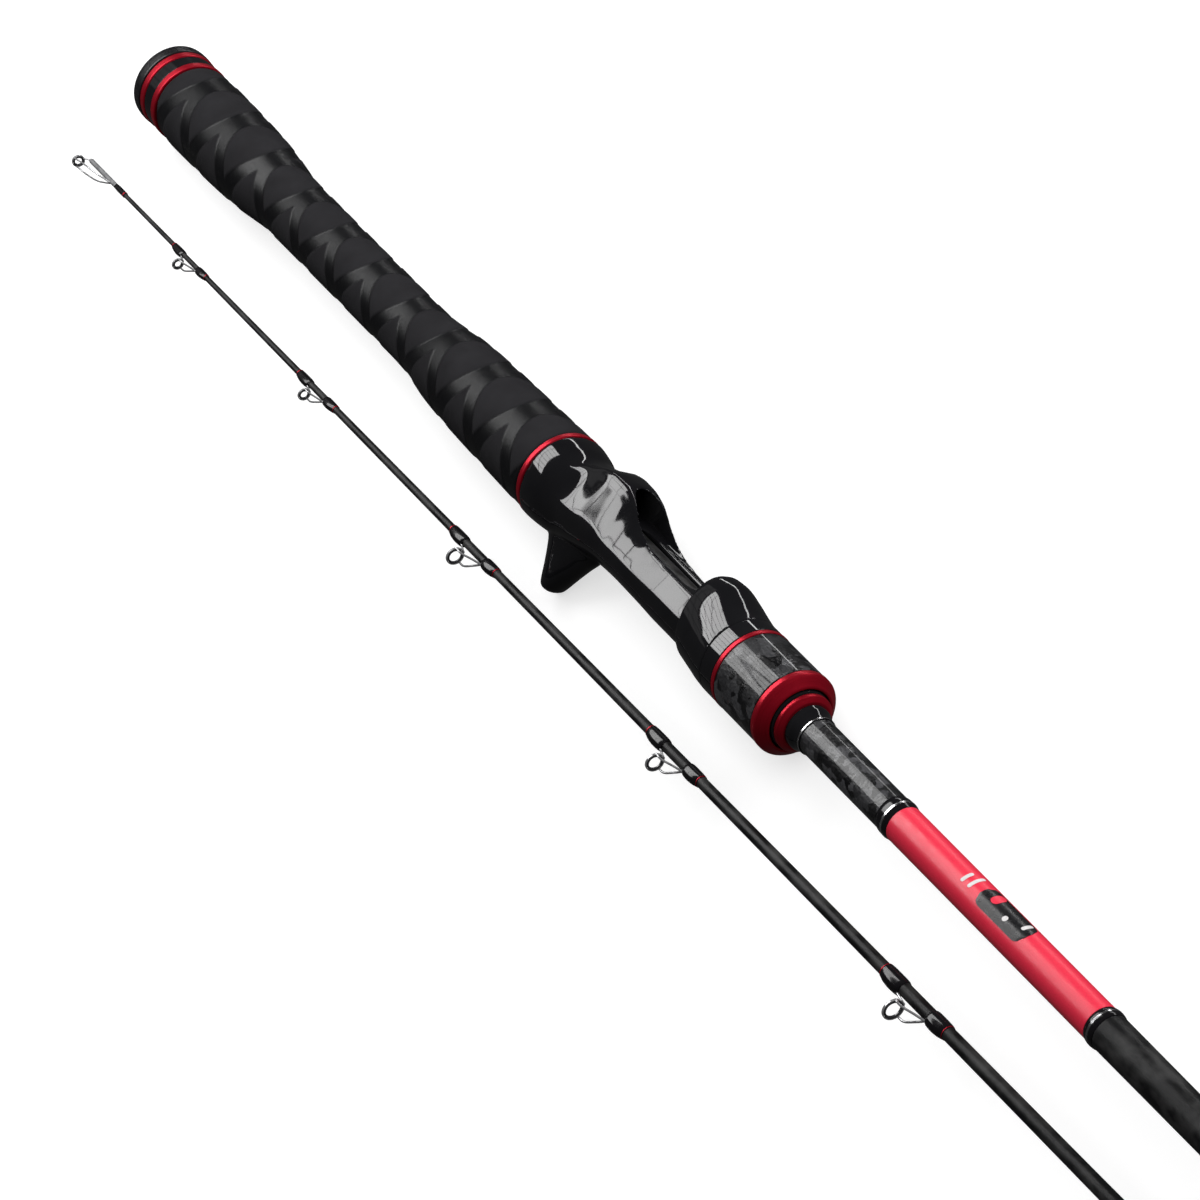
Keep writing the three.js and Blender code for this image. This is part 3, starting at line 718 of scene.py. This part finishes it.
def barrel():
    """The threaded barrel that the front hood and the nut run on."""
    profile = [(BARREL_START, 0), (BARREL_START, BARREL)]
    x = THREAD_START
    while x < BARREL_END - 3:
        profile += [(x, BARREL), (x + 1, BARREL - THREAD_DEPTH), (x + 2, BARREL)]
        x += THREAD_PITCH
    profile += [(BARREL_END - 0.6, BARREL), (BARREL_END, BARREL - 0.5), (BARREL_END, 0)]
    return turned(profile)


def trigger(sides=48):
    loops = []
    for depth in spread(TRIGGER[0][0], 21.4, 40):
        rear, front, half = steady(TRIGGER, depth)
        middle, reach = (rear + front) / 2, (front - rear) / 2
        turns = [2 * math.pi * i / sides for i in range(sides)]
        loops.append([(middle + reach * math.cos(a), -half * math.sin(a), -depth) for a in turns])
    return lofted(loops)


def slit():
    """A cutter with round ends, for the opening in the deck that shows the blank."""
    outline = []
    for centre, start in ((SLIT_FRONT, -90), (SLIT_REAR, 90)):
        for i in range(13):
            a = math.radians(start + 15 * i)
            outline.append((centre + SLIT_HALF * math.cos(a), SLIT_HALF * math.sin(a)))
    return lofted([[(x, y, z) for x, y in outline] for z in (0, 2 * DECK)])


def reel_seat():
    shell_xs = spread(SEAT_START, SHELL_END - SEAT_START, SHELL_STEPS)
    shell = lofted([seat_section(x, *steady(SEAT, x), *steady(SLANT, x)) for x in shell_xs])
    pocket = lofted([arch(x, *steady(POCKET, x), DECK) for x in spread(POCKET_START, 74, 60)])
    bore = turned([(SEAT_START - 1, 0), (SEAT_START - 1, SEAT_BORE), (BARREL_END + 1, SEAT_BORE),
                   (BARREL_END + 1, 0)])
    arbor = turned([(SEAT_START - 1, 0), (SEAT_START - 1, ARBOR_RADIUS), (ARBOR_END, ARBOR_RADIUS),
                    (ARBOR_END, 0)])
    solid = combined(shell, "UNION", barrel(), trigger())
    solid = combined(solid, "DIFFERENCE", pocket, slit(), bore, arbor)
    return fused(solid, 0.42, 6)


# ---- front hood and nut ----
HOOD_START = 336
HOOD_BORE = 9.55
# x, reach up, reach down, half-width
HOOD = [(HOOD_START, 14.4, 10.3, 10.5), (339, 15.6, 10.6, 11), (343, 15.9, 11.1, 11.6),
        (348, 14.9, 11.8, 12.2), (352.5, 13.6, 12.5, 12.6), (356.7, 12.75, 12.75, 12.75)]
# x, top, half-width
HOOD_POCKET = [(334.5, 13.2, 6.8), (342, 12.8, 6.6), (350, 11, 5.8)]
POCKET_FLOOR = 4
MOUTH_X = 339.4
MOUTH_LEAN = math.radians(-12)


def front_hood():
    shell = lofted([oval(x, *steady(HOOD, x), 1, SIDES) for x in spread(HOOD_START, 20.7, 40)])
    bore = turned([(330, 0), (330, HOOD_BORE), (360, HOOD_BORE), (360, 0)])
    lean = Matrix.Translation((MOUTH_X, 0, 0)) @ Matrix.Rotation(MOUTH_LEAN, 4, "Y")
    mouth = moved(block(30, 40, 60, -15, 0, 0), lean)
    pocket = lofted([arch(x, top, half, POCKET_FLOOR) for x, top, half in HOOD_POCKET])
    return fused(combined(shell, "DIFFERENCE", bore, mouth, pocket), 0.3, 4)


def build_seat():
    body = "butt_section"
    piece("seat_moulding", reel_seat(), body, "gloss_black", "reel_seat", crease=75)
    piece("seat_filler", tube([(260.3, 7.3), (289, 7.3)], SEAT_BORE), body, "arbor_foam", "seat_arbor")
    piece("hood_moulding", front_hood(), "hood", "gloss_black", "front_hood", crease=75)
    piece("hood_skirt", tube([(356.8, 12.75), (362.3, 12.75)], HOOD_BORE, 0.2), "hood",
          "gloss_black", "hood_collar")
    ring = [(362.4, 12.7), (362.7, 12.85), (363.9, 12.85), (364.1, 12.7)]
    piece("nut_rear_ring", tube(ring, HOOD_BORE, 0.15), "nut", "red_anodised", "nut_ring")
    piece("nut_body", tube([(364.2, 12.75), (383.5, 12.75)], HOOD_BORE, 0.3), "nut", "forged_carbon",
          "lock_nut")
    nose = [(383.6, 12.7), (383.9, 12.9), (385.4, 12.9), (386, 12.5), (388.3, 10.2)]
    piece("nut_nose_ring", tube(nose, HOOD_BORE, 0.25), "nut", "red_anodised", "nose_ring")


# ---- the blank of the butt section, with what is fitted on it ----
SLEEVE_BORE = 5.2
RED_START = 440.6
RED_END = 533
RED_RADIUS = 5.5
RED_FALL = 0.08  # in radius, over the red stretch
LINE_DEPTH = 0.15
# x and radius at the two ends of the blank's last taper
TAPER_REAR = (700, 4.85)
TAPER_FRONT = (891.9, 3.87)


def build_butt_blank():
    body = "butt_section"
    blank = [(16.6, 5.5), (396.6, 5.5), (396.7, 5.1), (537, 5.1), (537, 5.4), TAPER_REAR, TAPER_FRONT]
    bore = [(TAPER_FRONT[0], 3), (860, 3), (600, 3.7), (16.6, 3.7)]
    piece("blank_tube", turned(rounded(blank + bore, 0.1, 2)), body, "blank_carbon", "butt_blank")
    socket = [(892, 3.87), (903, 3.87), (904.5, 4.15), (934, 4.15), (935, 3.85)]
    piece("socket_wrap", tube(socket, 3.0, 0.4), body, "thread_epoxy", "ferrule_socket")
    check = [(389.1, 8.9), (390.4, 8.9), (391.6, 7.6)]
    piece("seat_check", tube(check, SEAT_BORE, 0.3), body, "red_anodised", "front_check")
    collar = [(391.7, 7), (393.4, 6.8), (395, 6.2), (396.6, 5.9)]
    piece("seat_collar", tube(collar, SEAT_BORE, 0.3), body, "gloss_black", "check_collar")
    piece("carbon_sleeve", tube([(396.9, 5.55), (435.1, 5.5)], SLEEVE_BORE, 0.1), body,
          "forged_carbon", "foregrip_sleeve")
    wrap = [(435.2, 5.5), (436.2, 5.8), (438.5, 5.85), (440.5, 5.5)]
    piece("sleeve_wrap_rear", tube(wrap, SLEEVE_BORE, 0.4), body, "thread_epoxy", "wrap_a")
    stretch = [(RED_START, RED_RADIUS), (RED_END, RED_RADIUS - RED_FALL)]
    piece("red_stretch", tube(stretch, SLEEVE_BORE, 0.1), body, "red_paint", "red_sleeve")
    wrap = [(533.1, 5.45), (534, 5.72), (536, 5.75), (536.9, 5.5)]
    piece("sleeve_wrap_front", tube(wrap, SLEEVE_BORE, 0.4), body, "thread_epoxy", "wrap_b")
    lines = (("rear", 396.45, 396.95, 5.95), ("middle", 437.9, 438.7, 5.88),
             ("front", 534.6, 535.3, 5.8))
    for name, start, end, radius in lines:
        line = tube([(start, radius), (end, radius)], radius - LINE_DEPTH, 0.04)
        piece(f"silver_line_{name}", line, body, "thread_epoxy", look="silver")


# ---- plain printed marks on the red stretch ----
MARK_TURN = 124  # degrees round the blank, from +y towards +z
MARK_THICKNESS = 0.06
ACROSS = 16
PAINT_GAP = 0.03
# name, (length, width, corner), x, degrees from MARK_TURN, further lift, look
MARKS = (("plate", (21, 8, 2.8), 490, 0, 0.01, "satin_black"),
         ("bar", (3, 4.4, 1.4), 484.5, -14, 0.08, "red_paint"),
         ("dot", (1.7, 1.7, 0.8), 491.5, 14, 0.08, "white_print"),
         ("dash", (1.3, 3.6, 0.6), 497.5, -16, 0.08, "white_print"),
         ("stroke", (1.2, 5.6, 0.55), 475.5, -4, 0.01, "white_print"),
         ("stroke_rear", (1.2, 4, 0.55), 472.5, 6, 0.01, "white_print"))


def curved_badge(profile, centre_x, turn, radius):
    """A thin printed shape laid round the blank, from its half widths along x, in millimetres."""
    verts, faces = [], []
    for r in (radius, radius + MARK_THICKNESS):
        for along, half in profile:
            for j in range(ACROSS + 1):
                a = math.radians(turn) + half * (2 * j / ACROSS - 1) / radius
                verts.append((centre_x + along, r * math.cos(a), r * math.sin(a)))
    rows, wide = len(profile), ACROSS + 1
    upper = rows * wide
    for i in range(rows - 1):
        for j in range(ACROSS):
            k = i * wide + j
            quad = (k, k + 1, k + wide + 1, k + wide)
            faces += [quad, tuple(upper + q for q in reversed(quad))]
    border = list(range(wide)) + [i * wide + ACROSS for i in range(1, rows)]
    border += [upper - 2 - j for j in range(ACROSS)] + [i * wide for i in range(rows - 2, 0, -1)]
    for k, first in enumerate(border):
        second = border[(k + 1) % len(border)]
        faces.append((first, upper + first, upper + second, second))
    return mesh_from(verts, faces)


def rounded_strip(length, width, corner, steps=24):
    """Half widths along a strip with rounded corners."""
    profile = []
    for k in range(steps + 1):
        along = -length / 2 + length * k / steps
        inset = max(0.0, corner - (length / 2 - abs(along)))
        profile.append((along, width / 2 - corner + math.sqrt(corner ** 2 - inset ** 2)))
    return profile


def build_badge():
    for name, size, x, turn, lift, look in MARKS:
        paint = RED_RADIUS - (x - RED_START) / (RED_END - RED_START) * RED_FALL
        mesh = curved_badge(rounded_strip(*size), x, MARK_TURN + turn, paint + PAINT_GAP + lift)
        piece(f"badge_{name}", mesh, "butt_section", "red_paint", look=look, crease=30)


# ---- guides: a frame of wire, a ring in it, and a binding on each foot ----
# distance back from TIP_REACH, ring radius, height, gap to the tip foot, gap to the butt foot, wrap
GUIDES = [
    (68.7, 1.95, 3.6, 2.6, 7, 7), (154.2, 2.05, 3.9, 2.6, 7, 7.6), (250.9, 2.8, 5.5, 3, 8.3, 8),
    (364, 2.85, 5.8, 3.4, 8.1, 8.4), (484.7, 3.2, 6.3, 4.2, 8.7, 9), (615, 3.6, 7.3, 4.6, 9.6, 9.8),
    (759, 4.1, 8.6, 5.2, 10.8, 10.6),
]
TIP_REACH = 878
TAPER_KNEE = 560  # distance back from TIP_REACH
TIP_RADIUS = 0.6
KNEE_RADIUS = 2.16
FERRULE_RADIUS = 3.5
HOLDER_WALL = 0.35
HOLDER_SIDES = 56
RING_LEAN = math.radians(5)


def tip_radius(x):
    from_tip = TIP_REACH - x
    if from_tip < TAPER_KNEE:
        return TIP_RADIUS + from_tip / TAPER_KNEE * (KNEE_RADIUS - TIP_RADIUS)
    share = (from_tip - TAPER_KNEE) / (TIP_REACH - TAPER_KNEE)
    return KNEE_RADIUS + share * (FERRULE_RADIUS - KNEE_RADIUS)


def holder_ring(ring, width):
    profile = [(-width / 2, ring), (width / 2, ring), (width / 2, ring - HOLDER_WALL),
               (-width / 2, ring - HOLDER_WALL)]
    return turned(rounded(profile, 0.16, 4), HOLDER_SIDES)


def insert_ring(ring):
    rim = ring - HOLDER_WALL - 0.05
    half = 0.26 + 0.06 * ring
    band = 0.42 + 0.08 * ring
    profile = [(-half, rim - 0.35 * band), (-half * 0.6, rim), (half * 0.6, rim), (half, rim - 0.35 * band),
               (half * 0.7, rim - band), (-half * 0.7, rim - band)]
    return turned(rounded(profile, 0.3, 4), 64)


def guide_pieces(prefix, body, x, ring, height, tip_gap, butt_gap, wrap, radius_at):
    """One guide at x: its wire frame, its ring, and on each foot a binding with a red trim."""
    blank = radius_at(x)
    wire_radius = 0.16 + 0.055 * ring
    foot_height = 1.6 * wire_radius
    foot_z = blank + 0.1 + foot_height / 2
    foot_width = min(2.6 * wire_radius, blank)
    foot_length = 0.58 * wrap
    lean = Matrix.Translation((x, 0, height)) @ Matrix.Rotation(RING_LEAN, 4, "Y")
    on_ring = ring - HOLDER_WALL + wire_radius
    butt_foot, tip_foot = x - butt_gap, x + tip_gap
    parts = []
    for side in (-1, 1):
        parts.append(wire([
            (x, side * 0.95 * on_ring, height - 0.3 * on_ring),
            (x - 0.34 * butt_gap, side * 0.86 * on_ring, height - 0.32 * ring),
            (x - 0.72 * butt_gap, side * 0.42 * on_ring, foot_z + 0.32 * (height - foot_z)),
            (butt_foot + 0.1, side * 0.3 * wire_radius, foot_z),
        ], wire_radius))
    ring_foot = (x - on_ring * math.sin(RING_LEAN), 0, height - on_ring * math.cos(RING_LEAN))
    middle = (x + 0.5 * tip_gap, 0, (ring_foot[2] + foot_z) / 2)
    parts.append(wire([ring_foot, middle, (tip_foot - 0.1, 0, foot_z)], wire_radius))
    for start, direction in ((butt_foot, -1), (tip_foot, 1)):
        foot = []
        for share, size in ((-0.16, 0.55), (0, 0.95), (0.3, 1), (0.8, 0.8), (1, 0.4)):
            at = start + direction * share * foot_length
            half_width, half_height = 0.5 * foot_width * size, 0.5 * foot_height * size
            turns = [2 * math.pi * k / 16 for k in range(16)]
            foot.append([(at, half_width * math.cos(a), foot_z + half_height * math.sin(a)) for a in turns])
        parts.append(lofted(foot if direction > 0 else foot[::-1]))
    holder = moved(holder_ring(ring, 0.35 + 0.12 * ring), lean)
    frame_mesh = combined(holder, "UNION", *parts)
    piece(f"{prefix}_wire", frame_mesh, body, "guide_metal", f"{prefix}_frame", crease=50)
    piece(f"{prefix}_eye", moved(insert_ring(ring), lean), body, "guide_ceramic", f"{prefix}_ring")
    for name, direction in (("tip", 1), ("butt", -1)):
        length = wrap if direction > 0 else 0.85 * wrap
        inner = tip_foot if direction > 0 else butt_foot
        cover = blank + 0.1 + foot_height + 0.12 + 0.05 * ring
        around = blank + 0.2 + 0.06 * ring
        shape = [(0, blank + 0.12 + 0.45 * foot_height, blank + 0.12), (0.05, cover - 0.22, around - 0.1),
                 (0.16, cover, around), (0.42, cover + 0.1, around + 0.02), (0.72, cover - 0.12, around),
                 (0.92, blank + 0.34, around - 0.08), (1, blank + 0.14, blank + 0.12)]
        loops = []
        for k in range(41):
            share = 0.5 - 0.5 * math.cos(math.pi * k / 40)
            up, side = steady(shape, share)
            loops.append(oval(inner + direction * share * length, up, side, side, 1, 56))
        ends = [min(inner, inner + direction * length), max(inner, inner + direction * length)]
        hole = max(radius_at(ends[0]), radius_at(ends[1])) + 0.04
        bore = turned([(ends[0] - 1, 0), (ends[0] - 1, hole), (ends[1] + 1, hole), (ends[1] + 1, 0)], 56)
        body_mesh = combined(lofted(loops), "DIFFERENCE", bore)
        piece(f"{prefix}_binding_{name}", body_mesh, body, "thread_epoxy", f"{prefix}_wrap_{name}")
        outer = inner + direction * length
        band = sorted((outer - direction * 0.55, outer - direction * 0.18))
        r = blank + 0.25
        trim = tube([(band[0], r), (band[1], r)], r - 0.18, 0.08, 64)
        piece(f"{prefix}_trim_{name}", trim, body, "thread_epoxy", look="red_anodised")


def build_tip_top():
    body = "tip_section"
    ring, reach, height, wire_radius = 2.1, 3.5, 3.3, 0.27
    start, bore = TIP_REACH - 17.5, 0.68
    radius = bore + 0.14
    x = TIP_REACH + reach
    lean = Matrix.Translation((x, 0, height)) @ Matrix.Rotation(math.radians(12), 4, "Y")
    tip_tube = tube([(start, radius), (TIP_REACH + 0.4, radius)], bore, 0.08, 40)
    plug = turned(rounded([(TIP_REACH + 0.2, 0), (TIP_REACH + 0.2, radius), (TIP_REACH + 1.2, 0.6),
                           (TIP_REACH + 1.2, 0)], 0.3), 40)
    sides = [wire([
        (x, side * 0.75 * ring, height + 0.5 * ring),
        (x - 5, side * 0.95 * ring, height + 0.4),
        (x - 12, side * 0.75 * ring, 2.7),
        (start + 3, side * 0.25, radius - 0.05),
    ], wire_radius) for side in (-1, 1)]
    lower = wire([
        (x - 0.1, 0, height - ring + 0.1),
        (x - 1.6, 0, 0.4),
        (TIP_REACH + 0.6, 0, 0.1),
    ], wire_radius)
    mesh = combined(moved(holder_ring(ring, 0.8), lean), "UNION", tip_tube, plug, *sides, lower)
    piece("tip_top_wire", mesh, body, "guide_metal", "tip_top_frame", crease=50)
    piece("tip_top_eye", moved(insert_ring(ring), lean), body, "guide_ceramic", "tip_top_ring")
    end = start - 0.1
    wrap = [(end - 7, radius - 0.02), (end - 5, radius + 0.1), (end - 2, radius + 0.12),
            (end, radius + 0.02)]
    piece("tip_top_binding", tube(wrap, 0.78, 0.1, 48), body, "thread_epoxy", "tip_top_wrap")
    trim = tube([(end - 6.5, radius + 0.09), (end - 6.15, radius + 0.12)], radius - 0.04, 0.05, 48)
    piece("tip_top_trim", trim, body, "thread_epoxy", look="red_anodised")


def build_tip_section():
    body = "tip_section"
    blank = [(0, 0), (0, 3.3), (1, FERRULE_RADIUS), (TIP_REACH - TAPER_KNEE, KNEE_RADIUS),
             (TIP_REACH - 0.3, TIP_RADIUS), (TIP_REACH - 0.3, 0)]
    piece("tip_rod", turned(rounded(blank, 0.2, 2)), body, "blank_carbon", "tip_blank")
    wrap = [(1, 3.75), (3, 4.05), (23, 4), (25, 3.6)]
    piece("ferrule_wrap", tube(wrap, 3.52, 0.5), body, "thread_epoxy", "tip_ferrule_wrap")
    plug = [(-42, 0), (-42, 2.3), (-41, 2.65), (-0.1, 2.8), (-0.1, 0)]
    piece("spigot_rod", turned(rounded(plug, 0.5)), body, "blank_carbon", "spigot")
    build_tip_top()
    for i, (from_tip, *rest) in enumerate(GUIDES):
        guide_pieces(f"guide_{i + 1}", body, TIP_REACH - from_tip, *rest, tip_radius)


def butt_radius(x):
    share = (x - TAPER_REAR[0]) / (TAPER_FRONT[0] - TAPER_REAR[0])
    return TAPER_REAR[1] + share * (TAPER_FRONT[1] - TAPER_REAR[1])


build_grip()
build_seat()
build_butt_blank()
build_badge()
guide_pieces("stripper", "butt_section", 870, 5.1, 10.8, 6, 12.6, 12, butt_radius)
build_tip_section()


# ---- stage, light and camera ----
def stage_material(name, colour, strength, rough):
    material = bpy.data.materials.new(name)
    material.use_nodes = True
    shader = material.node_tree.nodes["Principled BSDF"]
    shader.inputs["Base Color"].default_value = (*colour, 1)
    shader.inputs["Roughness"].default_value = rough
    shader.inputs["Specular IOR Level"].default_value = 0
    shader.inputs["Emission Color"].default_value = (1, 1, 1, 1)
    shader.inputs["Emission Strength"].default_value = strength
    return material


def sheet_of(name, corners, material):
    mesh = bpy.data.meshes.new(name)
    mesh.from_pydata(corners, [], [(0, 1, 2, 3)])
    mesh.materials.append(material)
    obj = bpy.data.objects.new(name, mesh)
    bpy.context.scene.collection.objects.link(obj)
    obj.visible_glossy = False
    return obj


floor_look = stage_material("stage_floor", (0.48, 0.48, 0.48), 0.66, 0.9)
ground = sheet_of("floor", [(-6, -6, 0), (6, -6, 0), (6, 6, 0), (-6, 6, 0)], floor_look)
ground.visible_diffuse = False


def softbox(name, centre, towards, width, height, radiance):
    light = bpy.data.lights.new(name, "AREA")
    light.shape = "RECTANGLE"
    light.size = width
    light.size_y = height
    light.energy = radiance * math.pi * width * height
    lamp = bpy.data.objects.new(name, light)
    lamp.location = centre
    aim = Vector(towards) - Vector(centre)
    lamp.rotation_euler = aim.to_track_quat("-Z", "Y").to_euler()
    lamp.visible_camera = False
    bpy.context.scene.collection.objects.link(lamp)
    return lamp


PANE = 0.93  # a pane's share of its step, the rest is bar


def window(name, corner, step, count, height, radiance):
    """A bank of panes with thin dark bars between them, facing down."""
    width, depth = step[0] * PANE, step[1] * PANE
    for row in range(count[0]):
        for column in range(count[1]):
            x, y = corner[0] + step[0] * (row + 0.5), corner[1] + step[1] * (column + 0.5)
            softbox(f"{name}_{row}_{column}", (x, y, height), (x, y, 0), width, depth, radiance)


window("rear_window", (-1.21, -0.45), (0.165, 0.15), (3, 7), 0.85, 8)
window("far_window", (-2.5, -0.8), (0.3, 0.26), (4, 6), 0.85, 0.25)
softbox("edge_strip", (-0.9, 1.1, 0.06), (-0.9, 0, 0.06), 1.8, 0.07, 8)
FILLS = (("top_fill", (0.3, 0.4, 2), 2.6, 1.2), ("right_fill", (0.5, 1.4, 0.8), 1, 7))
for name, place, size, radiance in FILLS:
    fill = softbox(name, place, (0, 0, 0), size, size, radiance)
    fill.visible_glossy = False

world = bpy.data.worlds.new("studio")
bpy.context.scene.world = world
world.use_nodes = True
world.node_tree.nodes["Background"].inputs["Color"].default_value = (0.5, 0.5, 0.5, 1)
world.node_tree.nodes["Background"].inputs["Strength"].default_value = 0.08

# the camera stands and looks as fitted to the photo
CAMERA_FROM_BUTT = Vector((1.3706, 0, 1.057))
camera_data = bpy.data.cameras.new("camera")
camera_data.lens = 162
camera_data.sensor_width = 36
camera = bpy.data.objects.new("camera", camera_data)
right = Vector((0.48888, 0.71136, -0.50494))
up = Vector((-0.50575, 0.70276, 0.50034))
back = right.cross(up).normalized()
up = back.cross(right).normalized()
turn = Matrix((right.normalized(), up, back)).transposed().to_4x4()
camera.matrix_world = Matrix.Translation(butt_origin + CAMERA_FROM_BUTT) @ turn
bpy.context.scene.collection.objects.link(camera)
bpy.context.scene.camera = camera
bpy.context.scene.view_settings.view_transform = "Standard"
